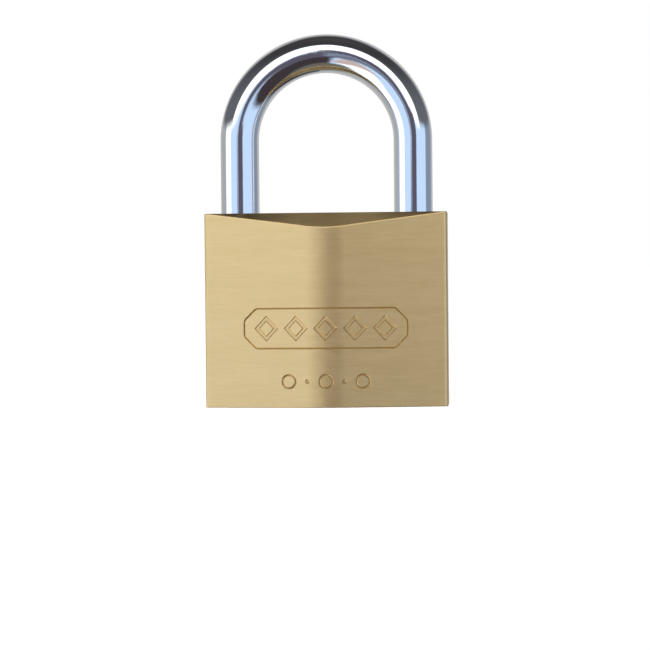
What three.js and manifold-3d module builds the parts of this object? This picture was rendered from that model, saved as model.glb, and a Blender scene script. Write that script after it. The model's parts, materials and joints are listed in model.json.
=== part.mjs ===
// Padlock with a ridged solid brass body, a round steel shackle, a five-pin core
// and two locking bolts that the core draws in through an eccentric cam.
//
// Millimetres, +Z up. The origin is the middle of the body's base, +X points to the
// toe leg (the one that comes free) and -Y is the front. The shackle is closed and
// the core is turned to its open angle, so the bolts are drawn in.

import * as THREE from 'three';
import { mergeVertices } from 'three/addons/utils/BufferGeometryUtils.js';
import Module from 'manifold-3d';

const wasm = await Module();
wasm.setup();

// ---------------------------------------------------------------- driving dimensions

// Body: six-sided in plan, thickest along the upright ridge in the middle.
const bodyWidth = 50;
const bodyHeight = 40;
const endThickness = 11;
const facetAngle = THREE.MathUtils.degToRad(7.4);
const ridgeRadius = 32;
const cornerBevel = 0.5;

// Shackle
const rodRadius = 4;
const legPitch = 36;
const bowTop = 77;
const shackleLift = 12.8;
const heelEnd = 9.5;
const heelFlangeHeight = 2.3;
const toeEnd = 27.7;
const legClearance = 0.15;

// Core
const coreRadius = 5.9;
const coreTop = 26;
const coreRecess = 0.3;
const coreClearance = 0.2;
const coreOpenAngle = Math.PI / 2;

// Bolts, in one cross bore just under the top of the body
const boltHeight = 33;
const boltRadius = 2.8;
const boltTravel = 2;
const boltTipDrawnIn = 13.7;
const boltClearance = 0.1;
const boltShoulder = 5;
const tongueTip = -3.2;
const tongueLaneGap = 0.15;
const boltSpringY = -1.45;
const boltSpringHoleEnd = 9;
const boltSpringHoleRadius = 1.15;

// Pin stacks, drilled in from the toe side
const pinRadius = 1.3;
const firstPinHeight = 4.4;
const pinSpacing = 3.8;
const keyPinLengths = [3.4, 4.4, 3.9, 4.9, 4.1];
const driverLength = 4.4;
const chamberPlugLength = 4.3;

// Dowels that hold the core and the heel leg: each goes in from the back to its front end
const dowelRadius = 1;
const dowelHoleClearance = 0.05;
const shackleDowelFront = -3.6;
const coreDowelFront = -4.4;
const coreDowelZ = 22.6;

// Coil springs: outer radius, wire radius, turns, and the points of each turn and of the wire
const shackleSpring = { outer: 3.6, wire: 0.4, turns: 5, steps: 10, sides: 6 };
const boltSpring = { outer: 1, wire: 0.18, turns: 5, steps: 8, sides: 5 };
const pinSpring = { outer: 1.25, wire: 0.18, turns: 6, steps: 8, sides: 5 };

// Facets round a circle: every pair of coaxial pieces uses the same count
const largeSides = 24;
const smallSides = 12;

// ---------------------------------------------------------------- derived places

const halfWidth = bodyWidth / 2;
const halfEnd = endThickness / 2;
const legX = legPitch / 2;
const bowCentre = bowTop - rodRadius - legX;
const legBoreRadius = rodRadius + legClearance;
const heelBoreFloor = 2.5;
const toeBoreFloor = toeEnd - 0.5;

const coreBoreRadius = coreRadius + coreClearance;
const coreBoreTop = boltHeight + boltRadius + 0.2;
const crossBoreRadius = boltRadius + boltClearance;

const eccentric = boltTravel / 2;
const camFloor = coreTop + 0.3;
const camDiscTop = boltHeight - boltRadius - 0.5;
const camPinRadius = 0.75;
const camPinTop = coreBoreTop - 0.6;

const chamberRadius = pinRadius + 0.2;
const shearLine = (coreRadius + coreBoreRadius) / 2 + 0.05;
const pinHeights = keyPinLengths.map((_, i) => firstPinHeight + i * pinSpacing);

const shackleStopZ = heelEnd + heelFlangeHeight + shackleLift + 0.2 + dowelRadius;
const pinFlatDepth = 2.9;
const shackleDowelX = -(legX + pinFlatDepth + 0.15 + dowelRadius);
const coreGrooveRadius = coreRadius - 1;
const coreDowelX = -(coreGrooveRadius + 0.15 + dowelRadius);

// ---------------------------------------------------------------- solids

// A closed three.js geometry becomes a solid that can be joined and cut.
function solid(geometry) {
  geometry.deleteAttribute('normal');
  geometry.deleteAttribute('uv');
  const merged = mergeVertices(geometry);
  return new wasm.Manifold(new wasm.Mesh({
    numProp: 3,
    vertProperties: new Float32Array(merged.attributes.position.array),
    triVerts: new Uint32Array(merged.index.array),
  }));
}

function geometryOf(manifold) {
  const result = manifold.getMesh();
  const geometry = new THREE.BufferGeometry();
  geometry.setAttribute('position', new THREE.BufferAttribute(result.vertProperties, 3));
  geometry.setIndex(new THREE.BufferAttribute(result.triVerts, 1));
  geometry.computeVertexNormals();
  return geometry;
}

// Turn a shape made along three.js's Y axis so that it runs along X, Y or Z.
function turnAlong(axis, geometry) {
  if (axis === 'x') geometry.rotateZ(-Math.PI / 2);
  if (axis === 'z') geometry.rotateX(Math.PI / 2);
  return geometry;
}

// A round rod from one coordinate to another along an axis, about a line at `centre`.
function rod(axis, radius, from, to, centre = [0, 0, 0], sides = largeSides) {
  const geometry = turnAlong(axis, new THREE.CylinderGeometry(radius, radius, to - from, sides));
  const place = new THREE.Vector3(...centre);
  place[axis] = (from + to) / 2;
  return solid(geometry.translate(place.x, place.y, place.z));
}

function block(low, high) {
  const size = high.map((value, i) => value - low[i]);
  const middle = high.map((value, i) => (value + low[i]) / 2);
  return solid(new THREE.BoxGeometry(...size).translate(...middle));
}

// A solid of revolution: [radius, distance] pairs from the axis and back to it.
function turned(axis, profile, sides = largeSides) {
  const points = profile.map(([radius, along]) => new THREE.Vector2(radius, along));
  return solid(turnAlong(axis, new THREE.LatheGeometry(points, sides)));
}

// What a round leg loses where it is turned down to a smaller radius.
function turnedGroove(x, from, to, radius) {
  const ring = rod('z', rodRadius + 1, from, to, [x, 0, 0]);
  return ring.subtract(rod('z', radius, from - 1, to + 1, [x, 0, 0]));
}

// What the sharp edge of a downward leg end loses.
function endBevel(x, z, bevel) {
  const core = turned('z', [
    [0, -1],
    [rodRadius - bevel - 1, -1],
    [rodRadius + 0.5, bevel + 0.5],
    [0, bevel + 0.5],
  ]);
  const ring = rod('z', rodRadius + 0.4, -0.9, bevel + 0.4).subtract(core);
  return ring.translate([x, 0, z]);
}

function sweep(path, radius, sides, steps) {
  const section = new THREE.Shape();
  for (let i = 0; i < sides; i++) {
    const angle = (i / sides) * 2 * Math.PI;
    const move = i === 0 ? 'moveTo' : 'lineTo';
    section[move](radius * Math.cos(angle), radius * Math.sin(angle));
  }
  section.closePath();
  return new THREE.ExtrudeGeometry(section, { steps, extrudePath: path, bevelEnabled: false });
}

// ---------------------------------------------------------------- curves

// Up the heel leg, over the half-round bow and down the toe leg.
class ShacklePath extends THREE.Curve {
  constructor(heelLength, toeLength) {
    super();
    this.heelLength = heelLength;
    this.bowLength = Math.PI * legX;
    this.total = heelLength + this.bowLength + toeLength;
  }

  getPoint(t, target = new THREE.Vector3()) {
    const along = t * this.total;
    if (along < this.heelLength) {
      return target.set(-legX, 0, bowCentre - this.heelLength + along);
    }
    if (along < this.heelLength + this.bowLength) {
      const angle = (along - this.heelLength) / legX;
      return target.set(-legX * Math.cos(angle), 0, bowCentre + legX * Math.sin(angle));
    }
    return target.set(legX, 0, bowCentre - (along - this.heelLength - this.bowLength));
  }
}

// A coil about the Z axis, from z = 0 to z = length.
class CoilPath extends THREE.Curve {
  constructor(radius, length, turns) {
    super();
    this.radius = radius;
    this.length = length;
    this.turns = turns;
  }

  getPoint(t, target = new THREE.Vector3()) {
    const angle = t * this.turns * 2 * Math.PI;
    return target.set(this.radius * Math.cos(angle), this.radius * Math.sin(angle), t * this.length);
  }
}

// A coil spring that fits between `from` and `to`, which are its wire's outer faces.
function coil(spring, from, to) {
  const path = new CoilPath(spring.outer - spring.wire, to - from - 2 * spring.wire, spring.turns);
  const geometry = sweep(path, spring.wire, spring.sides, spring.turns * spring.steps);
  return geometry.translate(0, 0, from + spring.wire);
}

// ---------------------------------------------------------------- body

// Plan outline: two shallow facets front and back, meeting in a rounded ridge.
function bodyOutline() {
  const apex = halfEnd + halfWidth * Math.tan(facetAngle);
  const arcCentre = apex - ridgeRadius / Math.cos(facetAngle);
  const arcSteps = 6;
  const front = [];
  for (let i = 0; i <= arcSteps; i++) {
    const angle = facetAngle * (2 * i / arcSteps - 1);
    front.push([ridgeRadius * Math.sin(angle), -arcCentre - ridgeRadius * Math.cos(angle)]);
  }
  const bevelRise = cornerBevel * Math.tan(facetAngle);
  const half = [
    [-halfWidth, -halfEnd + cornerBevel],
    [-halfWidth + cornerBevel, -halfEnd - bevelRise],
    ...front,
    [halfWidth - cornerBevel, -halfEnd - bevelRise],
    [halfWidth, -halfEnd + cornerBevel],
  ];
  const back = half.map(([x, y]) => [-x, -y]);
  return new THREE.Shape([...half, ...back].map(([x, y]) => new THREE.Vector2(x, y)));
}

// The wedge above a 45 degree facet that falls from the top's long edge to the ridge.
function topFacetWedge(side) {
  const reach = 10;
  const wedge = new THREE.Shape([
    new THREE.Vector2(halfEnd, 0),
    new THREE.Vector2(halfEnd + reach, -reach),
    new THREE.Vector2(halfEnd + reach, reach),
    new THREE.Vector2(halfEnd, reach),
  ]);
  const geometry = new THREE.ExtrudeGeometry(wedge, { depth: bodyWidth + 2, bevelEnabled: false });
  geometry.translate(0, 0, -halfWidth - 1);
  geometry.rotateX(Math.PI / 2);
  geometry.rotateZ(side * Math.PI / 2);
  return solid(geometry.translate(0, 0, bodyHeight));
}

// The blind hole that a dowel is driven into, a little longer than the dowel.
function dowelHole(x, z, frontEnd) {
  return rod('y', dowelRadius + dowelHoleClearance, frontEnd - 0.1, halfWidth, [x, 0, z], smallSides);
}

function makeBody() {
  const plan = new THREE.ExtrudeGeometry(bodyOutline(), { depth: bodyHeight, bevelEnabled: false });
  const above = bodyHeight + 1;
  const beyond = halfWidth + 1;
  const cuts = [
    topFacetWedge(1),
    topFacetWedge(-1),
    rod('z', legBoreRadius, heelBoreFloor, above, [-legX, 0, 0]),
    rod('z', legBoreRadius, toeBoreFloor, above, [legX, 0, 0]),
    rod('z', coreBoreRadius, -1, coreBoreTop),
    rod('x', crossBoreRadius, -legX, beyond, [0, 0, boltHeight]),
    dowelHole(shackleDowelX, shackleStopZ, shackleDowelFront),
    dowelHole(coreDowelX, coreDowelZ, coreDowelFront),
    ...pinHeights.map((z) => rod('x', chamberRadius, 0, beyond, [0, 0, z], smallSides)),
  ];
  return cuts.reduce((body, cut) => body.subtract(cut), solid(plan));
}

// ---------------------------------------------------------------- shackle

function makeShackle() {
  const bowSteps = 20;
  const step = Math.PI * legX / bowSteps;
  const heelSteps = Math.ceil((bowCentre - heelEnd) / step);
  const toeSteps = Math.ceil((bowCentre - toeEnd) / step);
  const path = new ShacklePath(heelSteps * step, toeSteps * step);
  const bar = solid(sweep(path, rodRadius, largeSides, heelSteps + bowSteps + toeSteps));

  const notchFace = boltTipDrawnIn + boltTravel + 0.25;
  const notchLow = boltHeight - boltRadius - 0.2;
  const notchHigh = boltHeight + boltRadius + 0.2;
  const flangeTop = heelEnd + heelFlangeHeight;
  const boltGrooveRadius = legX - notchFace + 0.05;
  const cuts = [
    block([-legX - 6, -6, 0], [-legX + 6, 6, heelEnd]),
    block([legX - 6, -6, 0], [legX + 6, 6, toeEnd]),
    endBevel(-legX, heelEnd, 0.6),
    endBevel(legX, toeEnd, 0.9),
    // A notch on the inner side of each leg takes a bolt when the shackle is closed.
    block([-notchFace, -6, notchLow], [-notchFace + 6, 6, notchHigh]),
    block([notchFace - 6, -6, notchLow], [notchFace, 6, notchHigh]),
    // A flat down the heel leg slides past its dowel. At full lift the two turned
    // grooves face the dowel and the bolt, so that the shackle can swing round.
    block([-legX - 6, -6, flangeTop], [-legX - pinFlatDepth, 6, shackleStopZ + dowelRadius + 0.4]),
    turnedGroove(-legX, flangeTop, flangeTop + 2.4, pinFlatDepth),
    turnedGroove(-legX, notchLow - shackleLift, notchHigh - shackleLift, boltGrooveRadius),
  ];
  // Rings of points along the straight legs are left out again.
  return cuts.reduce((shackle, cut) => shackle.subtract(cut), bar.asOriginal()).simplify();
}

// ---------------------------------------------------------------- core and cam

// Warded keyway section: X is towards the pins, Y is across the key.
function keywayOutline() {
  const points = [
    [-4.6, -0.6], [-2.0, -0.6], [-2.0, -1.3], [0.2, -1.3], [0.2, -0.5], [3.0, -0.5],
    [3.0, 1.1], [-0.8, 1.1], [-0.8, 0.3], [-2.9, 0.3], [-2.9, 1.0], [-4.6, 1.0],
  ];
  return new THREE.Shape(points.map(([x, y]) => new THREE.Vector2(x, y)));
}

// The core is made with its pins towards +X, which is its locked angle.
function makeCore() {
  const grooveLow = coreDowelZ - dowelRadius - 0.2;
  const grooveHigh = coreDowelZ + dowelRadius + 0.2;
  const bevel = 0.3;
  const barrel = turned('z', [
    [0, coreRecess],
    [coreRadius - bevel, coreRecess],
    [coreRadius, coreRecess + bevel],
    [coreRadius, grooveLow],
    [coreGrooveRadius, grooveLow],
    [coreGrooveRadius, grooveHigh],
    [coreRadius, grooveHigh],
    [coreRadius, coreTop],
    [0, coreTop],
  ]);
  const keywayDepth = grooveLow - 0.3;
  const keyway = new THREE.ExtrudeGeometry(keywayOutline(), { depth: keywayDepth, bevelEnabled: false });
  const pinBoreEnd = coreRadius + 1;
  const pinBoreRadius = pinRadius + 0.15;
  const pinBores = pinHeights.map((z) => rod('x', pinBoreRadius, -0.6, pinBoreEnd, [0, 0, z], smallSides));
  const tenon = block([-3.5, -1.5, coreTop - 0.5], [3.5, 1.5, coreTop + 1.6]);
  return [solid(keyway), ...pinBores].reduce((core, cut) => core.subtract(cut), barrel.add(tenon));
}

// A disc on the core's tenon, with one upright pin for each bolt.
function makeCam() {
  const disc = rod('z', coreRadius - 0.3, camFloor, camDiscTop);
  const tenonSlot = block([-3.7, -1.7, camFloor - 1], [3.7, 1.7, camFloor + 1.6]);
  const pinFoot = camDiscTop - 0.5;
  const toePin = rod('z', camPinRadius, pinFoot, camPinTop, [eccentric, eccentric, 0], smallSides);
  const heelPin = rod('z', camPinRadius, pinFoot, camPinTop, [-eccentric, -eccentric, 0], smallSides);
  return disc.subtract(tenonSlot).add(toePin).add(heelPin);
}

// ---------------------------------------------------------------- bolts

// The toe bolt about the X axis: a round nose, and a flat tongue beside the other
// bolt's tongue, with a window for the cam's pin. The heel bolt is the same piece
// turned half round. The window is long enough for the bolt to be pushed in alone.
function makeBolt() {
  const bevel = 0.6;
  const nose = turned('x', [
    [0, tongueTip],
    [boltRadius, tongueTip],
    [boltRadius, boltTipDrawnIn - bevel],
    [boltRadius - bevel, boltTipDrawnIn],
    [0, boltTipDrawnIn],
  ]);
  const windowReach = eccentric + camPinRadius + 0.1;
  const windowOuter = eccentric * Math.SQRT2 + camPinRadius + 0.13;
  const cuts = [
    block([tongueTip - 1, -4, -4], [boltShoulder, tongueLaneGap, 4]),
    block([-windowReach, -4, -4], [windowReach, windowOuter, 4]),
    rod('x', boltSpringHoleRadius, boltShoulder - 1, boltSpringHoleEnd, [0, boltSpringY, 0], smallSides),
  ];
  return cuts.reduce((bolt, cut) => bolt.subtract(cut), nose);
}

// ---------------------------------------------------------------- pins and plugs

// Pins run along X from their inner end at x = 0.
function makeKeyPin(length) {
  return turned('x', [
    [0, 0],
    [0.4, 0],
    [pinRadius, 0.9],
    [pinRadius, length - 0.2],
    [pinRadius - 0.2, length],
    [0, length],
  ], smallSides);
}

function makeDriverPin() {
  return turned('x', [
    [0, 0],
    [pinRadius - 0.2, 0],
    [pinRadius, 0.2],
    [pinRadius, driverLength - 0.2],
    [pinRadius - 0.2, driverLength],
    [0, driverLength],
  ], smallSides);
}

// ---------------------------------------------------------------- materials

function metal(colour, roughness) {
  return new THREE.MeshStandardMaterial({ color: colour, roughness, metalness: 1 });
}

const finishes = {
  brushedBrass: () => metal('#cdb88c', 0.38),
  plainBrass: () => metal('#c2a25c', 0.35),
  chrome: () => metal('#dfe3ea', 0.08),
  steel: () => metal('#a9acb0', 0.3),
  springSteel: () => metal('#8e9196', 0.35),
};

function part(name, shape, finish) {
  const geometry = shape.isBufferGeometry ? shape : geometryOf(shape);
  const mesh = new THREE.Mesh(geometry, finishes[finish]());
  mesh.name = name;
  return mesh;
}

// ---------------------------------------------------------------- assembly

const padlock = new THREE.Group();

padlock.add(part('lock_body', makeBody(), 'brushedBrass'));
padlock.add(part('shackle', makeShackle(), 'chrome'));

const heelCoil = coil(shackleSpring, heelBoreFloor + 0.1, heelEnd - 0.1);
const heelSpring = part('shackle_spring', heelCoil, 'springSteel');
heelSpring.position.set(-legX, 0, 0);
padlock.add(heelSpring);

// Each dowel goes in from the back and ends just under the back facet.
function backSurface(x) {
  return halfEnd + (halfWidth - Math.abs(x)) * Math.tan(facetAngle);
}

function dowel(name, x, z, frontEnd) {
  const backEnd = backSurface(Math.abs(x) + dowelRadius) - 0.03;
  const mesh = part(name, rod('y', dowelRadius, frontEnd, backEnd, [0, 0, 0], smallSides), 'steel');
  mesh.position.set(x, 0, z);
  return mesh;
}

padlock.add(dowel('shackle_retaining_pin', shackleDowelX, shackleStopZ, shackleDowelFront));
padlock.add(dowel('core_retaining_pin', coreDowelX, coreDowelZ, coreDowelFront));

// The core, its cam and its key pins turn together.
const core = new THREE.Group();
core.rotation.z = coreOpenAngle;
core.add(part('core_plug', makeCore(), 'plainBrass'));
core.add(part('cam', makeCam(), 'steel'));
padlock.add(core);

// Both bolts and their springs: the toe side as made, the heel side turned half round.
for (const [side, halfTurn] of [['toe', 0], ['heel', Math.PI]]) {
  const group = new THREE.Group();
  group.position.z = boltHeight;
  group.rotation.z = halfTurn;
  group.add(part(`locking_bolt_${side}`, makeBolt(), 'steel'));

  const boltCoil = coil(boltSpring, 0.15, boltSpringHoleEnd + tongueTip - 0.1);
  const tongueSpring = part(`bolt_spring_${side}`, boltCoil, 'springSteel');
  tongueSpring.rotation.y = Math.PI / 2;
  tongueSpring.position.set(-tongueTip, boltSpringY, 0);
  group.add(tongueSpring);
  padlock.add(group);
}

const crossPlugInner = legX + legBoreRadius + 0.35;
const crossPlug = rod('x', crossBoreRadius - 0.05, crossPlugInner, halfWidth - 0.05);
const crossBorePlug = part('cross_bore_plug', crossPlug, 'plainBrass');
crossBorePlug.position.z = boltHeight;
padlock.add(crossBorePlug);

// Five pin stacks: key pin in the core, then driver, spring and brass plug in the body.
const driverStart = shearLine + 0.1;
const springStart = driverStart + driverLength + 0.15;
const chamberPlugStart = halfWidth - 0.05 - chamberPlugLength;

pinHeights.forEach((z, i) => {
  const number = i + 1;

  const keyPin = part(`key_pin_${number}`, makeKeyPin(keyPinLengths[i]), 'plainBrass');
  keyPin.position.set(coreRadius - 0.2 - keyPinLengths[i], 0, z);
  core.add(keyPin);

  const driverPin = part(`driver_pin_${number}`, makeDriverPin(), 'steel');
  driverPin.position.set(driverStart, 0, z);
  padlock.add(driverPin);

  const pinCoil = coil(pinSpring, 0, chamberPlugStart - 0.15 - springStart);
  const chamberSpring = part(`pin_spring_${number}`, pinCoil, 'springSteel');
  chamberSpring.rotation.y = Math.PI / 2;
  chamberSpring.position.set(springStart, 0, z);
  padlock.add(chamberSpring);

  const plugRadius = chamberRadius - 0.05;
  const chamberPlug = part(
    `chamber_plug_${number}`,
    rod('x', plugRadius, chamberPlugStart, halfWidth - 0.05, [0, 0, 0], smallSides),
    'plainBrass',
  );
  chamberPlug.position.z = z;
  padlock.add(chamberPlug);
});

export default padlock;
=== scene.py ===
import json
from math import cos, hypot, pi, radians, sin, tan

import bpy
from mathutils import Matrix, Vector

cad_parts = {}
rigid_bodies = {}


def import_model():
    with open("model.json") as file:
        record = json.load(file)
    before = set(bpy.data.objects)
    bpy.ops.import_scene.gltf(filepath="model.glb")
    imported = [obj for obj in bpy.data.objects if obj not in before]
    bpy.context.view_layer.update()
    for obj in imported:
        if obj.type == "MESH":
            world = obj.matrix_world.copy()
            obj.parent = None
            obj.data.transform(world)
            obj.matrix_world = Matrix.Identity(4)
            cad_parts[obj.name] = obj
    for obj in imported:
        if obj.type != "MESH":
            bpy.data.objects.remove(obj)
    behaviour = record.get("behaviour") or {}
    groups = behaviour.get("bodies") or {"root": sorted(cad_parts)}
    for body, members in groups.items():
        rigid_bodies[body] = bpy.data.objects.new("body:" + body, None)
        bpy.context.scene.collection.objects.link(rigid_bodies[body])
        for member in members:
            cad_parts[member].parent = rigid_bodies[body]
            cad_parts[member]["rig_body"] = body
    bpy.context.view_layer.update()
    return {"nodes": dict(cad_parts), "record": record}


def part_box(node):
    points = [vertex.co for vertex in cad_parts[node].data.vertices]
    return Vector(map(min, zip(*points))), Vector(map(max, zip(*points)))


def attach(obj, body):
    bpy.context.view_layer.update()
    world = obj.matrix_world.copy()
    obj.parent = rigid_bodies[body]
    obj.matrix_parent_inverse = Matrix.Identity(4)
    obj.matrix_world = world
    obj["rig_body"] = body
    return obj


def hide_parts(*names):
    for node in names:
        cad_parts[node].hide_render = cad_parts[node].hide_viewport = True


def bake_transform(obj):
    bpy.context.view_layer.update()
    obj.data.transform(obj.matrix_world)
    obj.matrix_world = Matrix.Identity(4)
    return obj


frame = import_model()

# ------------------------------------------------------------------ sizes, in metres

MM = 0.001

# Body: its box comes from the frame, its facets are repeated from the design.
body_low, body_high = (Vector(corner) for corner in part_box("lock_body"))
HALF_WIDTH = body_high.x
HEIGHT = body_high.z
HALF_END = 5.5 * MM
FACET_ANGLE = radians(7.4)
RIDGE_RADIUS = 32 * MM
APEX = HALF_END + HALF_WIDTH * tan(FACET_ANGLE)
RIDGE_REACH = RIDGE_RADIUS * tan(FACET_ANGLE)
CORNER_BEVEL = 1.0 * MM
CORNER_PROFILE = 0.74
EDGE_BEVEL = 0.18 * MM

# Shackle
shackle_low, shackle_high = (Vector(corner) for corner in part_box("shackle"))
ROD = shackle_high.y
LEG_X = shackle_high.x - ROD
BOW_TOP = shackle_high.z
BOW_CENTRE = BOW_TOP - ROD - LEG_X
HEEL_END = shackle_low.z
TOE_END = 27.7 * MM
LEG_BORE = ROD + 0.15 * MM
HEEL_BORE_FLOOR = 2.5 * MM
TOE_BORE_FLOOR = TOE_END - 0.5 * MM
LIFT = 12.8 * MM

# Core, bolts and pins
core_low, core_high = (Vector(corner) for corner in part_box("core_plug"))
CORE = core_high.x
CORE_BORE = CORE + 0.2 * MM
BOLT_HEIGHT = 33 * MM
BOLT = 2.8 * MM
CROSS_BORE = BOLT + 0.1 * MM
CHAMBER = 1.5 * MM
CHAMBER_BORE_TOP = BOLT_HEIGHT + BOLT + 0.2 * MM
DOWEL = 1 * MM
NUMBERS = range(1, 6)


def middle(node):
    low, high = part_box(node)
    return (Vector(low) + Vector(high)) / 2


# ------------------------------------------------------------------ camera

CAMERA_AZIMUTH = radians(3.7)
CAMERA_DISTANCE = 500 * MM
CAMERA_HEIGHT = 30 * MM
CAMERA_AIM = Vector((-0.6, 0, 16.75)) * MM
CAMERA_ROLL = radians(-0.55)
CAMERA_LENS = 133.25


def make_camera():
    data = bpy.data.cameras.new("camera")
    data.lens = CAMERA_LENS
    camera = bpy.data.objects.new("camera", data)
    bpy.context.scene.collection.objects.link(camera)
    place = Vector((sin(CAMERA_AZIMUTH), -cos(CAMERA_AZIMUTH), 0)) * CAMERA_DISTANCE
    place.z = CAMERA_HEIGHT
    aim = (CAMERA_AIM - place).to_track_quat("-Z", "Y").to_matrix().to_4x4()
    camera.matrix_world = Matrix.Translation(place) @ aim @ Matrix.Rotation(CAMERA_ROLL, 4, "Z")
    bpy.context.scene.camera = camera


make_camera()

# ------------------------------------------------------------------ bench: picking and cutting


def clear_bench():
    """Nothing stays selected before a new piece is started."""
    bpy.ops.object.select_all(action="DESELECT")


def fresh(name):
    """Names the primitive just added and puts its place and size into its mesh."""
    piece = bpy.context.active_object
    piece.name = piece.data.name = name
    bpy.ops.object.transform_apply(location=True, rotation=True, scale=True)
    return piece


def pick(piece, kind, wanted):
    """Opens a piece for editing with just the points, edges or faces for which wanted(...) holds.

    wanted is given the item's middle and, for a face, its normal."""
    clear_bench()
    piece.select_set(True)
    bpy.context.view_layer.objects.active = piece
    bpy.ops.object.mode_set(mode="EDIT")
    bpy.ops.mesh.select_mode(type=kind)
    bpy.ops.mesh.select_all(action="DESELECT")
    bpy.ops.object.mode_set(mode="OBJECT")
    mesh = piece.data
    if kind == "VERT":
        for point in mesh.vertices:
            point.select = wanted(point.co)
    if kind == "EDGE":
        for edge in mesh.edges:
            ends = [mesh.vertices[index].co for index in edge.vertices]
            edge.select = wanted((ends[0] + ends[1]) / 2, ends[1] - ends[0])
    if kind == "FACE":
        for face in mesh.polygons:
            face.select = wanted(face.center, face.normal)
    bpy.ops.object.mode_set(mode="EDIT")


def close():
    bpy.ops.object.mode_set(mode="OBJECT")


def everything(*_):
    return True


def apply_modifier(piece, kind, **settings):
    clear_bench()
    piece.select_set(True)
    bpy.context.view_layer.objects.active = piece
    modifier = piece.modifiers.new(kind, kind)
    for key, value in settings.items():
        setattr(modifier, key, value)
    bpy.ops.object.modifier_apply(modifier=modifier.name)


def cut(piece, *cutters, operation="DIFFERENCE"):
    for cutter in cutters:
        apply_modifier(piece, "BOOLEAN", operation=operation, solver="EXACT", object=cutter)
        bpy.data.objects.remove(cutter, do_unlink=True)


def turn_to(piece, axis, place):
    """A piece made upwards from the origin is turned to point along axis from place."""
    turn = Vector(axis).to_track_quat("Z", "Y").to_matrix().to_4x4()
    piece.data.transform(Matrix.Translation(place) @ turn)
    return piece


def cylinder(name, radius, low, high, sides=96):
    clear_bench()
    bpy.ops.mesh.primitive_cylinder_add(
        vertices=sides, radius=radius, depth=high - low, location=(0, 0, (low + high) / 2))
    return fresh(name)


def block(name, low, high):
    clear_bench()
    low, high = Vector(low), Vector(high)
    bpy.ops.mesh.primitive_cube_add(size=1, location=(low + high) / 2, scale=high - low)
    return fresh(name)


def raise_top(piece, rise, scale):
    """Extrudes the top face up and narrows or widens it."""
    top = max(point.co.z for point in piece.data.vertices)
    pick(piece, "FACE", lambda place, normal: normal.z > 0.9 and place.z > top - 0.001 * MM)
    bpy.ops.mesh.extrude_region_move(TRANSFORM_OT_translate={"value": (0, 0, rise)})
    bpy.ops.transform.resize(value=(scale, scale, 1), center_override=(0, 0, top + rise))
    close()


def drill(radius, mouth, axis, depth, rim=0.15 * MM, sides=96):
    """A cutter for a round hole: `depth` deep from its mouth, with a broken edge at the rim."""
    bit = cylinder("drill", radius, -depth, -rim, sides)
    raise_top(bit, rim, (radius + rim) / radius)
    raise_top(bit, 2 * MM, 1)
    return turn_to(bit, axis, mouth)


def soften(piece, offset, segments, sharper_than=radians(25)):
    pick(piece, "FACE", everything)
    bpy.ops.mesh.select_mode(type="EDGE")
    bpy.ops.mesh.select_all(action="DESELECT")
    bpy.ops.mesh.edges_select_sharp(sharpness=sharper_than)
    bpy.ops.mesh.bevel(offset=offset, segments=segments, profile=0.5, affect="EDGES")
    close()


def smooth(piece, angle=radians(32)):
    clear_bench()
    piece.select_set(True)
    bpy.context.view_layer.objects.active = piece
    bpy.ops.object.shade_smooth_by_angle(angle=angle)
    apply_modifier(piece, "WEIGHTED_NORMAL", keep_sharp=True, weight=100)


# ------------------------------------------------------------------ lock body


def facet_depth(x):
    """How far the front surface lies from the middle plane at a place across the width."""
    flat = HALF_END + (HALF_WIDTH - abs(x)) * tan(FACET_ANGLE)
    arc_edge = RIDGE_RADIUS * sin(FACET_ANGLE)
    if abs(x) >= arc_edge:
        return flat
    centre = APEX - RIDGE_RADIUS / cos(FACET_ANGLE)
    return centre + (RIDGE_RADIUS ** 2 - x ** 2) ** 0.5


def round_the_ridge(body):
    """Brings the bevelled ridge, front and back, to a true arc that meets the top facet."""
    for point in body.data.vertices:
        if abs(point.co.x) < RIDGE_RADIUS * sin(FACET_ANGLE) and abs(point.co.y) > HALF_END:
            depth = facet_depth(point.co.x)
            point.co.y = depth if point.co.y > 0 else -depth
            if point.co.z > HEIGHT / 2:
                point.co.z = HEIGHT - (depth - HALF_END)


def body_blank():
    """A block planed to its shallow facets, with a round ridge and broken edges."""
    spare = 1 * MM
    body = block("lock_body_shell", (-HALF_WIDTH, -APEX - spare, 0), (HALF_WIDTH, APEX + spare, HEIGHT))
    planes = []
    for front in (-1, 1):
        for side in (-1, 1):
            planes.append(((side * HALF_WIDTH, front * HALF_END, 0),
                           (side * sin(FACET_ANGLE), front * cos(FACET_ANGLE), 0)))
        planes.append(((0, front * HALF_END, HEIGHT), (0, front, 1)))
    pick(body, "FACE", everything)
    for place, normal in planes:
        bpy.ops.mesh.select_all(action="SELECT")
        bpy.ops.mesh.bisect(plane_co=place, plane_no=normal, use_fill=True, clear_outer=True)
    close()

    def upright_at(x, tolerance=0.01 * MM):
        return lambda place, run: abs(abs(place.x) - x) < tolerance and abs(run.z) > HEIGHT / 2

    pick(body, "EDGE", upright_at(0))
    bpy.ops.mesh.bevel(offset=RIDGE_REACH, segments=28, profile=0.5, affect="EDGES")
    close()
    round_the_ridge(body)
    pick(body, "EDGE", upright_at(HALF_WIDTH))
    bpy.ops.mesh.bevel(offset=CORNER_BEVEL, segments=8, profile=CORNER_PROFILE, affect="EDGES")
    close()
    pick(body, "FACE", lambda place, normal: abs(normal.z) < 0.01)
    bpy.ops.mesh.region_to_loop()
    bpy.ops.mesh.bevel(offset=EDGE_BEVEL, segments=3, profile=0.5, affect="EDGES")
    close()
    return body


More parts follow.
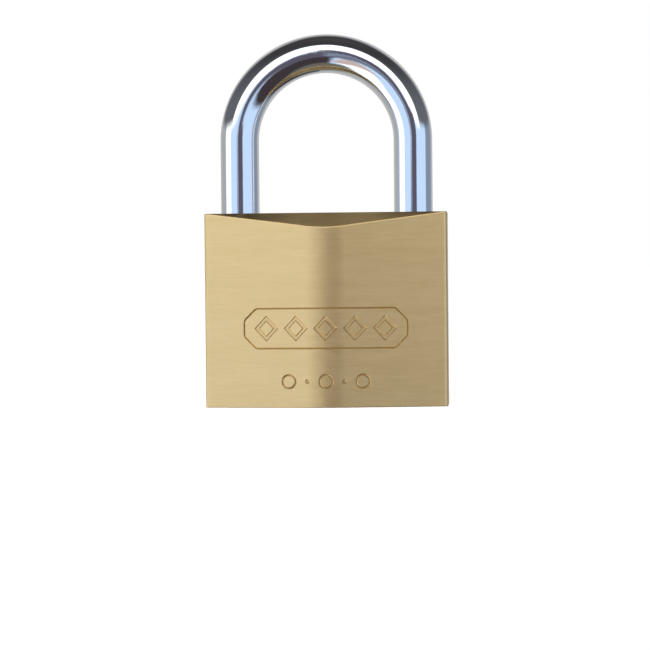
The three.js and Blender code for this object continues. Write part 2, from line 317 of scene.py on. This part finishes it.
def body_drills():
    up, right, back, down = (0, 0, 1), (1, 0, 0), (0, 1, 0), (0, 0, -1)
    bits = [
        drill(LEG_BORE, (-LEG_X, 0, HEIGHT), up, HEIGHT - HEEL_BORE_FLOOR),
        drill(LEG_BORE, (LEG_X, 0, HEIGHT), up, HEIGHT - TOE_BORE_FLOOR),
        drill(CORE_BORE, (0, 0, 0), down, CHAMBER_BORE_TOP, rim=0.2 * MM),
        drill(CROSS_BORE, (HALF_WIDTH, 0, BOLT_HEIGHT), right, HALF_WIDTH + LEG_X, rim=0.04 * MM),
    ]
    for number in NUMBERS:
        height = middle(f"chamber_plug_{number}").z
        bits.append(drill(CHAMBER, (HALF_WIDTH, 0, height), right, HALF_WIDTH, rim=0.04 * MM, sides=64))
    for node in ("shackle_retaining_pin", "core_retaining_pin"):
        low = Vector(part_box(node)[0])
        place = middle(node)
        surface = facet_depth(place.x)
        bits.append(drill(DOWEL + 0.03 * MM, (place.x, surface, place.z), back,
                          surface - low.y + 0.1 * MM, rim=0.03 * MM, sides=48))
    return bits


# ------------------------------------------------------------------ engraving on the front

PANEL_Z = 16.3 * MM
PANEL_HALF = Vector((17.0, 4.3)) * MM
PANEL_CLIP = 2.6 * MM
PANEL_LINE = 0.4 * MM
LOZENGE_PITCH = 6.1 * MM
LOZENGE_HALF = Vector((2.5, 2.7)) * MM
LOZENGE_LINE = 0.85 * MM
LOZENGE_WALL = 0.18 * MM
MARK_Z = 5.4 * MM
MARK_PITCH = 3.8 * MM
MARK_RADIUS = 1.6 * MM
MARK_LINE = 0.5 * MM
ENGRAVED = 0.2 * MM
PROUD = 0.02 * MM


def outline(name, sides, half, centre, turn=0.0):
    """A flat upright shape that faces the front: a many-sided ring of points, filled."""
    clear_bench()
    bpy.ops.mesh.primitive_circle_add(vertices=sides, radius=1, fill_type="NGON")
    shape = fresh(name)
    shape.data.transform(Matrix.Rotation(turn, 4, "Z"))
    shape.data.transform(Matrix.Diagonal((half[0], half[1], 1, 1)))
    shape.data.transform(Matrix.Translation((centre[0], 0, centre[1])) @ Matrix.Rotation(pi / 2, 4, "X"))
    return shape


def sink(shape, wall, line=None):
    """Gives a flat shape sloping walls and a floor. With a line, only a border of that width
    is sunk, and the middle is taken out."""
    pick(shape, "FACE", everything)
    bpy.ops.mesh.inset(thickness=wall)
    bpy.ops.transform.translate(value=(0, ENGRAVED, 0))
    if line:
        if line > 2 * wall:
            bpy.ops.mesh.inset(thickness=line - 2 * wall)
        bpy.ops.mesh.inset(thickness=wall)
        bpy.ops.transform.translate(value=(0, -ENGRAVED, 0))
        bpy.ops.mesh.delete(type="FACE")
    close()
    return shape


def clipped_panel():
    """The long frame round the lozenges: a plate with clipped corners, drawn as one line."""
    clear_bench()
    bpy.ops.mesh.primitive_plane_add(size=2)
    panel = fresh("panel_frame")
    panel.data.transform(Matrix.Diagonal((PANEL_HALF.x, PANEL_HALF.y, 1, 1)))
    pick(panel, "VERT", everything)
    bpy.ops.mesh.bevel(offset=PANEL_CLIP, segments=1, affect="VERTICES")
    bpy.ops.mesh.select_all(action="SELECT")
    bpy.ops.mesh.bevel(offset=0.5 * MM, segments=4, affect="VERTICES")
    close()
    panel.data.transform(Matrix.Translation((0, 0, PANEL_Z)) @ Matrix.Rotation(pi / 2, 4, "X"))
    return sink(panel, PANEL_LINE / 2, PANEL_LINE)


def engraving_cutter():
    shapes = [clipped_panel()]
    for step in (-2, -1, 0, 1, 2):
        lozenge = outline("lozenge", 4, LOZENGE_HALF, (step * LOZENGE_PITCH, PANEL_Z))
        shapes.append(sink(lozenge, LOZENGE_WALL, LOZENGE_LINE))
        place = (step * MARK_PITCH, MARK_Z)
        if step % 2:
            shapes.append(sink(outline("mark_dot", 24, (MARK_LINE,) * 2, place), MARK_LINE / 2))
        else:
            ring = outline("mark_ring", 40, (MARK_RADIUS,) * 2, place)
            shapes.append(sink(ring, MARK_LINE / 2, MARK_LINE))
    clear_bench()
    for shape in shapes:
        shape.select_set(True)
    bpy.context.view_layer.objects.active = shapes[0]
    bpy.ops.object.join()
    cutter = shapes[0]
    pick(cutter, "FACE", everything)
    steps = 24
    for step in range(steps + 1):
        x = RIDGE_REACH * (2 * step / steps - 1) * 1.02
        bpy.ops.mesh.select_all(action="SELECT")
        bpy.ops.mesh.bisect(plane_co=(x, 0, 0), plane_no=(1, 0, 0))
    bpy.ops.mesh.select_all(action="SELECT")
    bpy.ops.mesh.extrude_region_move(TRANSFORM_OT_translate={"value": (0, -1 * MM, 0)})
    bpy.ops.mesh.select_all(action="SELECT")
    bpy.ops.mesh.quads_convert_to_tris()
    bpy.ops.mesh.normals_make_consistent(inside=False)
    close()
    for point in cutter.data.vertices:
        point.co.y -= facet_depth(point.co.x) + PROUD
    return cutter


def make_lock_body():
    body = body_blank()
    cut(body, engraving_cutter())
    cut(body, *body_drills())
    smooth(body)
    return body


# ------------------------------------------------------------------ shackle


def make_shackle():
    """A round bar swept over the bow by a spin, then notched, flatted and turned down."""
    notch_face = 15.95 * MM
    notch = (BOLT_HEIGHT - BOLT - 0.2 * MM, BOLT_HEIGHT + BOLT + 0.2 * MM)
    flange_top = HEEL_END + 2.3 * MM
    flat = 2.9 * MM
    pin = middle("shackle_retaining_pin").z
    reach = 6 * MM

    bar = cylinder("shackle_bar", ROD, HEEL_END, BOW_CENTRE)
    bar.data.transform(Matrix.Translation((-LEG_X, 0, 0)))

    def end_at(height, side):
        return lambda place, normal: (abs(normal.z) > 0.99 and place.x * side > 0
                                      and abs(place.z - height) < 0.001 * MM)

    pick(bar, "FACE", end_at(BOW_CENTRE, -1))
    bpy.ops.mesh.spin(steps=72, angle=-pi, center=(0, 0, BOW_CENTRE), axis=(0, 1, 0))
    close()
    pick(bar, "FACE", end_at(BOW_CENTRE, 1))
    bpy.ops.mesh.extrude_region_move(TRANSFORM_OT_translate={"value": (0, 0, TOE_END - BOW_CENTRE)})
    bpy.ops.mesh.select_all(action="SELECT")
    bpy.ops.mesh.remove_doubles(threshold=0.001 * MM)
    bpy.ops.mesh.normals_make_consistent(inside=False)
    close()

    for side, end, bevel in ((-1, HEEL_END, 0.6 * MM), (1, TOE_END, 0.9 * MM)):
        pick(bar, "FACE", end_at(end, side))
        bpy.ops.mesh.bevel(offset=bevel, segments=3, affect="EDGES")
        close()

    def groove(low, high, radius):
        ring = cylinder("groove", ROD + 1 * MM, low, high)
        cut(ring, cylinder("groove_core", radius, low - 1 * MM, high + 1 * MM))
        ring.data.transform(Matrix.Translation((-LEG_X, 0, 0)))
        return ring

    cut(bar,
        block("notch", (-notch_face, -reach, notch[0]), (-notch_face + reach, reach, notch[1])),
        block("notch", (notch_face - reach, -reach, notch[0]), (notch_face, reach, notch[1])),
        block("flat", (-LEG_X - reach, -reach, flange_top), (-LEG_X - flat, reach, pin + 1.4 * MM)),
        groove(flange_top, flange_top + 2.4 * MM, flat),
        groove(notch[0] - LIFT, notch[1] - LIFT, LEG_X - notch_face + 0.05 * MM))
    smooth(bar)
    return bar


lock_body = make_lock_body()
shackle = make_shackle()

# ------------------------------------------------------------------ small parts on the outside


def stub(name, radius, node, axis, outer, inner, bevel=0.05 * MM, sides=64):
    """A plug or dowel from its inner end out to the surface that it is ground flush with."""
    piece = cylinder(name, radius, inner - outer, 0, sides)
    soften(piece, bevel, 2)
    place = middle(node)
    place += Vector(axis) * (outer - place.dot(Vector(axis)))
    turn_to(piece, axis, place)
    smooth(piece)
    return piece


def make_plugs():
    plugs = []
    for number in NUMBERS:
        node = f"chamber_plug_{number}"
        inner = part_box(node)[0][0]
        plugs.append((stub(f"chamber_disc_{number}", CHAMBER - 0.025 * MM, node, (1, 0, 0), HALF_WIDTH, inner), node))
    node = "cross_bore_plug"
    plugs.append((stub("cross_bore_disc", CROSS_BORE - 0.03 * MM, node, (1, 0, 0), HALF_WIDTH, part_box(node)[0][0]), node))
    return plugs


def make_dowels():
    dowels = []
    for node in ("shackle_retaining_pin", "core_retaining_pin"):
        low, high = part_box(node)
        dowels.append((stub(node.replace("pin", "dowel"), DOWEL, node, (0, 1, 0), high[1], low[1]), node))
    return dowels


plugs = make_plugs()
dowels = make_dowels()

# ------------------------------------------------------------------ core, cam, bolts and pins

KEYWAY = [(-4.6, -0.6), (-2.0, -0.6), (-2.0, -1.3), (0.2, -1.3), (0.2, -0.5), (3.0, -0.5),
          (3.0, 1.1), (-0.8, 1.1), (-0.8, 0.3), (-2.9, 0.3), (-2.9, 1.0), (-4.6, 1.0)]
CORE_TOP = 26 * MM
GROOVE_LOW = 21.4 * MM
GROOVE_HIGH = 23.8 * MM
GROOVE = 4.9 * MM
TENON_HALF = Vector((3.5, 1.5)) * MM
BOLT_TIP = 13.7 * MM
TONGUE_TIP = -3.2 * MM
SHOULDER = 5 * MM
LANE_GAP = 0.15 * MM
CAM_PIN = 0.75 * MM
ECCENTRIC = 1 * MM


def end_face(place, tolerance=0.001 * MM):
    """Picks the flat end at a height of a piece that still stands upright."""
    return lambda centre, normal: abs(normal.z) > 0.99 and abs(centre.z - place) < tolerance


def bevel_end(piece, height, offset, segments=3):
    pick(piece, "FACE", end_face(height))
    bpy.ops.mesh.bevel(offset=offset, segments=segments, affect="EDGES")
    close()


def swing(piece, angle):
    """Turns a finished piece about the middle upright line."""
    piece.data.transform(Matrix.Rotation(angle, 4, "Z"))
    return piece


def keyway_broach(low, high):
    """A bar with the warded section of the key."""
    clear_bench()
    bpy.ops.mesh.primitive_circle_add(vertices=len(KEYWAY), radius=1, fill_type="NGON")
    bar = fresh("broach")
    for point, (towards_pins, across) in zip(bar.data.vertices, KEYWAY):
        point.co = Vector((towards_pins, across, low / MM)) * MM
    pick(bar, "FACE", everything)
    bpy.ops.mesh.extrude_region_move(TRANSFORM_OT_translate={"value": (0, 0, high - low)})
    bpy.ops.mesh.select_all(action="SELECT")
    bpy.ops.mesh.normals_make_consistent(inside=False)
    close()
    return bar


def make_core():
    """A round barrel, bored for the pins, broached for the key, with a tenon for the cam."""
    barrel = cylinder("core_barrel", CORE, core_low.z, CORE_TOP)
    bevel_end(barrel, core_low.z, 0.3 * MM)
    bevel_end(barrel, CORE_TOP, 0.1 * MM, 2)
    x, y = TENON_HALF
    cut(barrel, block("tenon", (-x, -y, CORE_TOP - 0.5 * MM), (x, y, core_high.z)), operation="UNION")
    groove = cylinder("groove", CORE + 1 * MM, GROOVE_LOW, GROOVE_HIGH)
    cut(groove, cylinder("groove_core", GROOVE, GROOVE_LOW - 1 * MM, GROOVE_HIGH + 1 * MM))
    bores = []
    for number in NUMBERS:
        height = middle(f"chamber_plug_{number}").z
        bore = cylinder("pin_bore", CHAMBER - 0.05 * MM, -7 * MM, 0.6 * MM, 48)
        bores.append(turn_to(bore, (-1, 0, 0), (0, 0, height)))
    cut(barrel, groove, keyway_broach(core_low.z - 1 * MM, GROOVE_LOW - 0.3 * MM), *bores)
    swing(barrel, pi / 2)
    smooth(barrel)
    return barrel


def make_cam():
    """A disc over the core's tenon with an eccentric pin for each bolt."""
    low, high = (Vector(corner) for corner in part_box("cam"))
    disc_top = BOLT_HEIGHT - BOLT - 0.5 * MM
    disc = cylinder("cam_disc", CORE - 0.3 * MM, low.z, disc_top)
    bevel_end(disc, disc_top, 0.2 * MM, 2)
    bevel_end(disc, low.z, 0.2 * MM, 2)
    for side in (-1, 1):
        pin = cylinder("cam_pin", CAM_PIN, disc_top - 0.5 * MM, high.z, 32)
        bevel_end(pin, high.z, 0.15 * MM, 2)
        pin.data.transform(Matrix.Translation((side * ECCENTRIC, side * ECCENTRIC, 0)))
        cut(disc, pin, operation="UNION")
    x, y = TENON_HALF + Vector((0.2, 0.2)) * MM
    cut(disc, block("slot", (-x, -y, low.z - 1 * MM), (x, y, low.z + 1.6 * MM)))
    swing(disc, pi / 2)
    smooth(disc)
    return disc


def make_bolt(side, half_turn):
    """A round nose and a flat tongue with a window for the cam's pin and a bore for the spring."""
    bolt = cylinder(f"bolt_{side}", BOLT, TONGUE_TIP, BOLT_TIP, 64)
    bevel_end(bolt, BOLT_TIP, 0.6 * MM, 4)
    bevel_end(bolt, TONGUE_TIP, 0.15 * MM, 2)
    turn_to(bolt, (1, 0, 0), (0, 0, 0))
    reach = 4 * MM
    window = ECCENTRIC + CAM_PIN + 0.1 * MM
    window_top = ECCENTRIC * 2 ** 0.5 + CAM_PIN + 0.13 * MM
    spring_bore = turn_to(cylinder("spring_bore", 1.15 * MM, 4 * MM, 9 * MM, 32), (1, 0, 0), (0, -1.45 * MM, 0))
    cut(bolt,
        block("lane", (TONGUE_TIP - reach, -reach, -reach), (SHOULDER, LANE_GAP, reach)),
        block("window", (-window, -reach, -reach), (window, window_top, reach)),
        spring_bore)
    bolt.data.transform(Matrix.Translation((0, 0, BOLT_HEIGHT)))
    swing(bolt, half_turn)
    smooth(bolt)
    return bolt


def make_pin(name, node, axis, nose, collar):
    """A round pin between the ends of its box, with a nose at the inner end."""
    low, high = (Vector(corner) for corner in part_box(node))
    along = Vector(axis)
    length = (high - low).dot(along)
    pin = cylinder(name, (high - low).z / 2, 0, length, 48)
    bevel_end(pin, 0, nose, 4)
    bevel_end(pin, length, collar, 2)
    place = middle(node) - along * length / 2
    turn_to(pin, axis, place)
    smooth(pin)
    return pin


def make_spring(name, node, axis, wire, turns, steps=20, sides=10):
    """A coil wound with the screw modifier. Its first and last turns are then closed up."""
    low, high = (Vector(corner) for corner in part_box(node))
    along = Vector(axis)
    length = abs((high - low).dot(along))
    across = [size for size, part in zip(high - low, along) if not part]
    radius = max(across) / 2 - wire
    pitch = (length - 2 * wire) / turns
    clear_bench()
    bpy.ops.mesh.primitive_circle_add(vertices=sides, radius=wire, location=(radius, 0, wire),
                                      rotation=(pi / 2, 0, 0))
    coil = fresh(name)
    apply_modifier(coil, "SCREW", angle=2 * pi * turns, screw_offset=pitch * turns, steps=steps * turns,
                   render_steps=steps * turns, use_merge_vertices=False)
    closed = 2.1 * wire
    open_pitch = (length - 2 * wire - 2 * closed) / (turns - 2)
    for index, point in enumerate(coil.data.vertices):
        wound = (index // sides) / steps
        wanted = closed * min(wound, 1) + open_pitch * min(max(wound - 1, 0), turns - 2)
        wanted += closed * max(wound - turns + 1, 0)
        point.co.z += wanted - pitch * wound
    pick(coil, "FACE", everything)
    bpy.ops.mesh.select_mode(type="EDGE")
    bpy.ops.mesh.select_all(action="DESELECT")
    bpy.ops.mesh.select_non_manifold()
    bpy.ops.mesh.fill_holes(sides=0)
    bpy.ops.mesh.select_all(action="SELECT")
    bpy.ops.mesh.normals_make_consistent(inside=False)
    close()
    turn_to(coil, axis, middle(node) - along * length / 2)
    smooth(coil, radians(60))
    return coil, middle(node) - along * length / 2, middle(node) + along * length / 2


core = make_core()
cam = make_cam()
bolts = [(make_bolt("toe", 0), "locking_bolt_toe"), (make_bolt("heel", pi), "locking_bolt_heel")]
pins = []
for number in NUMBERS:
    pins.append((make_pin(f"key_pin_fine_{number}", f"key_pin_{number}", (0, 1, 0), 0.8 * MM, 0.2 * MM),
                 f"key_pin_{number}"))
    pins.append((make_pin(f"driver_pin_fine_{number}", f"driver_pin_{number}", (1, 0, 0), 0.2 * MM, 0.2 * MM),
                 f"driver_pin_{number}"))

# ------------------------------------------------------------------ shader arithmetic


class Wire:
    """A node's output. Plain arithmetic on it adds Math nodes to the same tree."""

    def __init__(self, tree, socket):
        self.tree = tree
        self.socket = socket

    def node(self, kind, settings=None, inputs=None, output=0):
        """Adds any node: its settings first, then the values or wires of its sockets."""
        return add_node(self.tree, kind, settings, inputs, output)

    def maths(self, operation, *values):
        return self.node("ShaderNodeMath", {"operation": operation}, dict(enumerate(values)))

    def __add__(self, other):
        return self.maths("ADD", self, other)

    def __sub__(self, other):
        return self.maths("SUBTRACT", self, other)

    def __rsub__(self, other):
        return self.maths("SUBTRACT", other, self)

    def __mul__(self, other):
        return self.maths("MULTIPLY", self, other)

    def __truediv__(self, other):
        return self.maths("DIVIDE", self, other)

    __radd__ = __add__
    __rmul__ = __mul__

    def __abs__(self):
        return self.maths("ABSOLUTE", self)

    def fade(self, low, high):
        """0 below low, 1 above high and a smooth rise between them. Reversed limits fall."""
        rising = low < high
        limits = {"From Min": min(low, high), "From Max": max(low, high),
                  "To Min": 0.0 if rising else 1.0, "To Max": 1.0 if rising else 0.0}
        return self.node("ShaderNodeMapRange", {"interpolation_type": "SMOOTHSTEP"}, {"Value": self, **limits})

    def window(self, low, high, soft):
        return self.fade(low - soft, low + soft) * self.fade(high + soft, high - soft)

    def blend(self, first, second):
        """A colour: first where this wire is 0 and second where it is 1."""
        return self.node("ShaderNodeMix", {"data_type": "RGBA"}, {0: self, 6: first, 7: second}, 2)


def add_node(tree, kind, settings=None, inputs=None, output=0):
    made = tree.nodes.new(kind)
    for key, value in (settings or {}).items():
        setattr(made, key, value)
    for key, value in (inputs or {}).items():
        if isinstance(value, Wire):
            tree.links.new(value.socket, made.inputs[key])
        elif hasattr(value, "__len__") and len(made.inputs[key].default_value) == 4 and len(value) == 3:
            made.inputs[key].default_value = (*value, 1)
        else:
            made.inputs[key].default_value = value
    return Wire(tree, made.outputs[output]) if made.outputs else None


def parts_of(vector):
    return [vector.node("ShaderNodeSeparateXYZ", None, {0: vector}, axis) for axis in range(3)]


def joined(x, y, z):
    source = next(value for value in (x, y, z) if isinstance(value, Wire))
    return source.node("ShaderNodeCombineXYZ", None, {0: x, 1: y, 2: z})


def new_material(name):
    material = bpy.data.materials.new(name)
    material.use_nodes = True
    material.node_tree.nodes.clear()
    return material, material.node_tree


def finish_metal(tree, colour, roughness, height=None, bump=0.0, **fixed):
    """Ends a material: a metal surface, with a bump from a height wire where one is given."""
    inputs = {"Metallic": 1.0, "Base Color": colour, "Roughness": roughness}
    for key, value in fixed.items():
        inputs[key.replace("_", " ")] = value
    if height is not None:
        inputs["Normal"] = height.node("ShaderNodeBump", None, {"Height": height, "Strength": 1.0, "Distance": bump})
    surface = add_node(tree, "ShaderNodeBsdfPrincipled", None, inputs)
    add_node(tree, "ShaderNodeOutputMaterial", None, {"Surface": surface})


def place_in(tree):
    """The point's own place on the object, in millimetres."""
    where = add_node(tree, "ShaderNodeTexCoord", output=3)
    return parts_of(where.node("ShaderNodeVectorMath", {"operation": "SCALE"}, {0: where, "Scale": 1000.0}))


def noise(vector, scale, detail=3.0, roughness=0.55):
    return vector.node("ShaderNodeTexNoise", None,
                       {"Vector": vector, "Scale": scale, "Detail": detail, "Roughness": roughness})


# ------------------------------------------------------------------ finishes


def brushed_brass(name="satin_brass", tone=(0.90, 0.66, 0.325), deep=(0.83, 0.595, 0.275)):
    """Pale brass, brushed level round the body: long fine lines, soft broad streaks, and a
    darker, duller floor in the engraving."""
    material, tree = new_material(name)
    x, y, z = place_in(tree)
    normal = add_node(tree, "ShaderNodeNewGeometry", output=1)
    end_face = abs(parts_of(normal)[0]).fade(0.6, 0.8)
    # On the facets the depth stays put along a line, whatever the facet's slope.
    depth = abs(y) + abs(x) * tan(FACET_ANGLE)
    along = x * (1 - end_face) + y * end_face
    across = depth * (1 - end_face)
    fine = noise(joined(along * 0.22, across * 2.1, z * 2.1), 1.0, 4.0, 0.62)
    hair = noise(joined(along * 0.4 + 17, across * 7, z * 7), 1.0, 2.0, 0.5)
    broad = noise(joined(along * 0.05 + 40, across * 0.5, z * 0.5), 1.0, 2.0, 0.5)
    streak = fine.fade(0.3, 0.7)

    rounding = x.maths("MAXIMUM", RIDGE_REACH / MM - abs(x), 0)
    surface = APEX / MM - rounding * rounding / (2 * RIDGE_RADIUS / MM)
    sunk = (surface - depth).fade(0.03, 0.14) * y.fade(-5, -6) * abs(x).fade(21, 20)
    in_lozenge = z.window(PANEL_Z / MM - 3.2, PANEL_Z / MM + 3.2, 0.2) * abs(x).fade(15.6, 15.2)
    worn = sunk * (1 - in_lozenge * 0.75)

    colour = (streak * 0.65 + broad.fade(0.3, 0.7) * 0.35).blend(deep, tone)
    colour = (worn * 0.45).blend(colour, (0.40, 0.27, 0.13))
    roughness = 0.30 + streak * 0.06 + hair * 0.05 + worn * 0.12
    height = fine * 0.6 + hair * 0.4
    finish_metal(tree, colour, roughness, height, 0.012 * MM, Anisotropic=0.68, Anisotropic_Rotation=0.25)
    return material


def plain_metal(name, light, dark, roughness, grain=2.0):
    """A turned or drawn metal: faint uneven tone and very fine tool marks."""
    material, tree = new_material(name)
    place = joined(*place_in(tree))
    cloud = noise(place, 0.35, 3.0)
    marks = noise(place, grain, 4.0, 0.65)
    finish_metal(tree, cloud.fade(0.3, 0.7).blend(dark, light), roughness + marks * 0.12, marks, 0.01 * MM)
    return material


def polished_chrome():
    """Bright plating: almost a mirror, with a little orange peel and faint hairlines."""
    material, tree = new_material("polished_chrome")
    place = joined(*place_in(tree))
    peel = noise(place, 0.5, 2.0)
    hairline = noise(place, 6.0, 3.0, 0.6)
    smudge = noise(place, 0.12, 3.0)
    roughness = 0.035 + hairline.fade(0.45, 0.8) * 0.05 + smudge.fade(0.5, 0.8) * 0.03
    colour = smudge.blend((0.86, 0.88, 0.91), (0.92, 0.93, 0.95))
    finish_metal(tree, colour, roughness, peel * 0.8 + hairline * 0.05, 0.012 * MM)
    return material


finishes = {
    "brushed_brass": brushed_brass(),
    "plain_brass": plain_metal("turned_brass", (0.80, 0.62, 0.33), (0.70, 0.51, 0.24), 0.28),
    "shackle_chrome": polished_chrome(),
    "pin_steel": plain_metal("turned_steel", (0.62, 0.63, 0.65), (0.50, 0.51, 0.54), 0.24),
    "spring_steel": plain_metal("spring_wire", (0.50, 0.51, 0.53), (0.36, 0.37, 0.40), 0.30, 5.0),
}
slot_of = {entry["node"]: entry["material_slot"] for entry in frame["record"]["subparts"]}


def dress(piece, finish):
    piece.data.materials.clear()
    piece.data.materials.append(finishes[finish])


def stands_for(piece, node, finish=None):
    """A fine piece takes a design node's place: it rides on the same body and keeps its slot."""
    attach(piece, frame["nodes"][node]["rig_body"])
    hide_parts(node)
    dress(piece, finish or slot_of[node])


stands_for(lock_body, "lock_body")
stands_for(shackle, "shackle")
for disc, node in plugs:
    stands_for(disc, node, "brushed_brass")
for dowel, node in dowels:
    stands_for(dowel, node)

stands_for(core, "core_plug")
stands_for(cam, "cam")
for piece, node in bolts + pins:
    stands_for(piece, node)


def stretched(name, node, axis, wire, turns):
    """A coil spring in the place of a design spring, dressed in its slot's finish. Its ends are not tied to the
    bodies that it presses apart.
    """
    coil, start, end = make_spring(name, node, axis, wire, turns)
    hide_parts(node)
    dress(coil, slot_of[node])
    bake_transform(coil)


stretched("heel_coil", "shackle_spring", (0, 0, 1), 0.4 * MM, 5)
stretched("toe_bolt_coil", "bolt_spring_toe", (1, 0, 0), 0.18 * MM, 5)
stretched("heel_bolt_coil", "bolt_spring_heel", (-1, 0, 0), 0.18 * MM, 5)
for number in NUMBERS:
    stretched(f"chamber_coil_{number}", f"pin_spring_{number}", (-1, 0, 0), 0.18 * MM, 6)

for node, made in frame["nodes"].items():
    dress(made, slot_of[node])

# ------------------------------------------------------------------ studio


def make_floor():
    """A white floor that runs on into the backdrop and keeps only a soft contact shadow."""
    clear_bench()
    bpy.ops.mesh.primitive_circle_add(vertices=128, radius=6, fill_type="NGON")
    floor = fresh("floor")
    floor.visible_glossy = False
    material, tree = new_material("pale_floor")
    paint = add_node(tree, "ShaderNodeBsdfDiffuse", None, {"Color": (0.9, 0.9, 0.9)})
    glow = add_node(tree, "ShaderNodeEmission", None, {"Color": (1.0, 1.0, 1.0), "Strength": 0.78})
    both = add_node(tree, "ShaderNodeAddShader", None, {0: paint, 1: glow})
    add_node(tree, "ShaderNodeOutputMaterial", None, {"Surface": both})
    floor.data.materials.append(material)


def studio_light():
    """A light room. In front stands a ring of white light with a dark gap where the lens is,
    to the sides hang cool panels, and the ceiling and the back wall are dim."""
    world = bpy.data.worlds.new("studio")
    bpy.context.scene.world = world
    world.use_nodes = True
    tree = world.node_tree
    tree.nodes.clear()
    x, y, z = parts_of(add_node(tree, "ShaderNodeTexCoord"))
    degrees = 180 / pi
    turn = x.maths("ARCTAN2", x, y * -1) * degrees
    rise = z.maths("ARCSINE", z) * degrees
    off_axis = y.maths("ARCCOSINE", y * -1) * degrees

    room = turn.fade(-5, 5).blend((0.42, 0.43, 0.44), (0.24, 0.29, 0.38))
    rear = abs(turn).fade(120, 150) * rise.window(-40, 52, 16)
    room = rear.blend(room, (0.56, 0.55, 0.53))
    cool = (0.62, 0.80, 1.06)
    white = (1.25, 1.28, 1.30)
    room = turn.window(-86, 82, 4).blend(room, cool)
    room = turn.window(-86, -50, 3).blend(room, white)
    low_left = turn.window(-86, -24, 4) * rise.window(-58, -26, 4)
    room = low_left.blend(room, white)
    warm = turn.window(-28, -12, 4) * rise.window(-52, -20, 4)
    room = warm.blend(room, (0.62, 0.48, 0.43))
    pit = (rise + abs(turn - 20) * 0.25).fade(-8, -17) * x.fade(-0.16, -0.09)
    room = pit.blend(room, (0.05, 0.04, 0.045))
    gap = turn.window(-5, 22, 2) * rise.window(-1, 10, 2)
    gap = gap.maths("MAXIMUM", gap, turn.fade(-8, -3) * turn.fade(18, 5) * rise.window(-24, 18, 3))
    gap = gap.maths("MAXIMUM", gap, turn.window(-13, -4, 2.5) * rise.window(-24, 3, 4) * 0.85)
    room = gap.blend(room, (0.11, 0.10, 0.135))
    ring = rise.fade(6, 11) * off_axis.fade(51, 46) * (1 - gap)
    room = ring.blend(room, (1.6, 1.6, 1.6))
    ceiling = rise.fade(8, 14) * off_axis.fade(46, 51) * (1 - rear)
    dim = rise.fade(15, 60).blend((0.13, 0.14, 0.155), (0.045, 0.043, 0.046))
    dim = rise.fade(65, 85).blend(dim, (0.06, 0.055, 0.053))
    room = ceiling.blend(room, dim)
    below = rise.fade(-54, -66)
    room = below.blend(room, (0.15, 0.14, 0.11))

    lens = add_node(tree, "ShaderNodeLightPath")
    seen = lens.blend(room, (1.0, 1.0, 1.0))
    backdrop = add_node(tree, "ShaderNodeBackground", None, {"Color": seen, "Strength": 1.0})
    add_node(tree, "ShaderNodeOutputWorld", None, {"Surface": backdrop})


make_floor()
studio_light()
bpy.context.scene.view_settings.view_transform = "Standard"
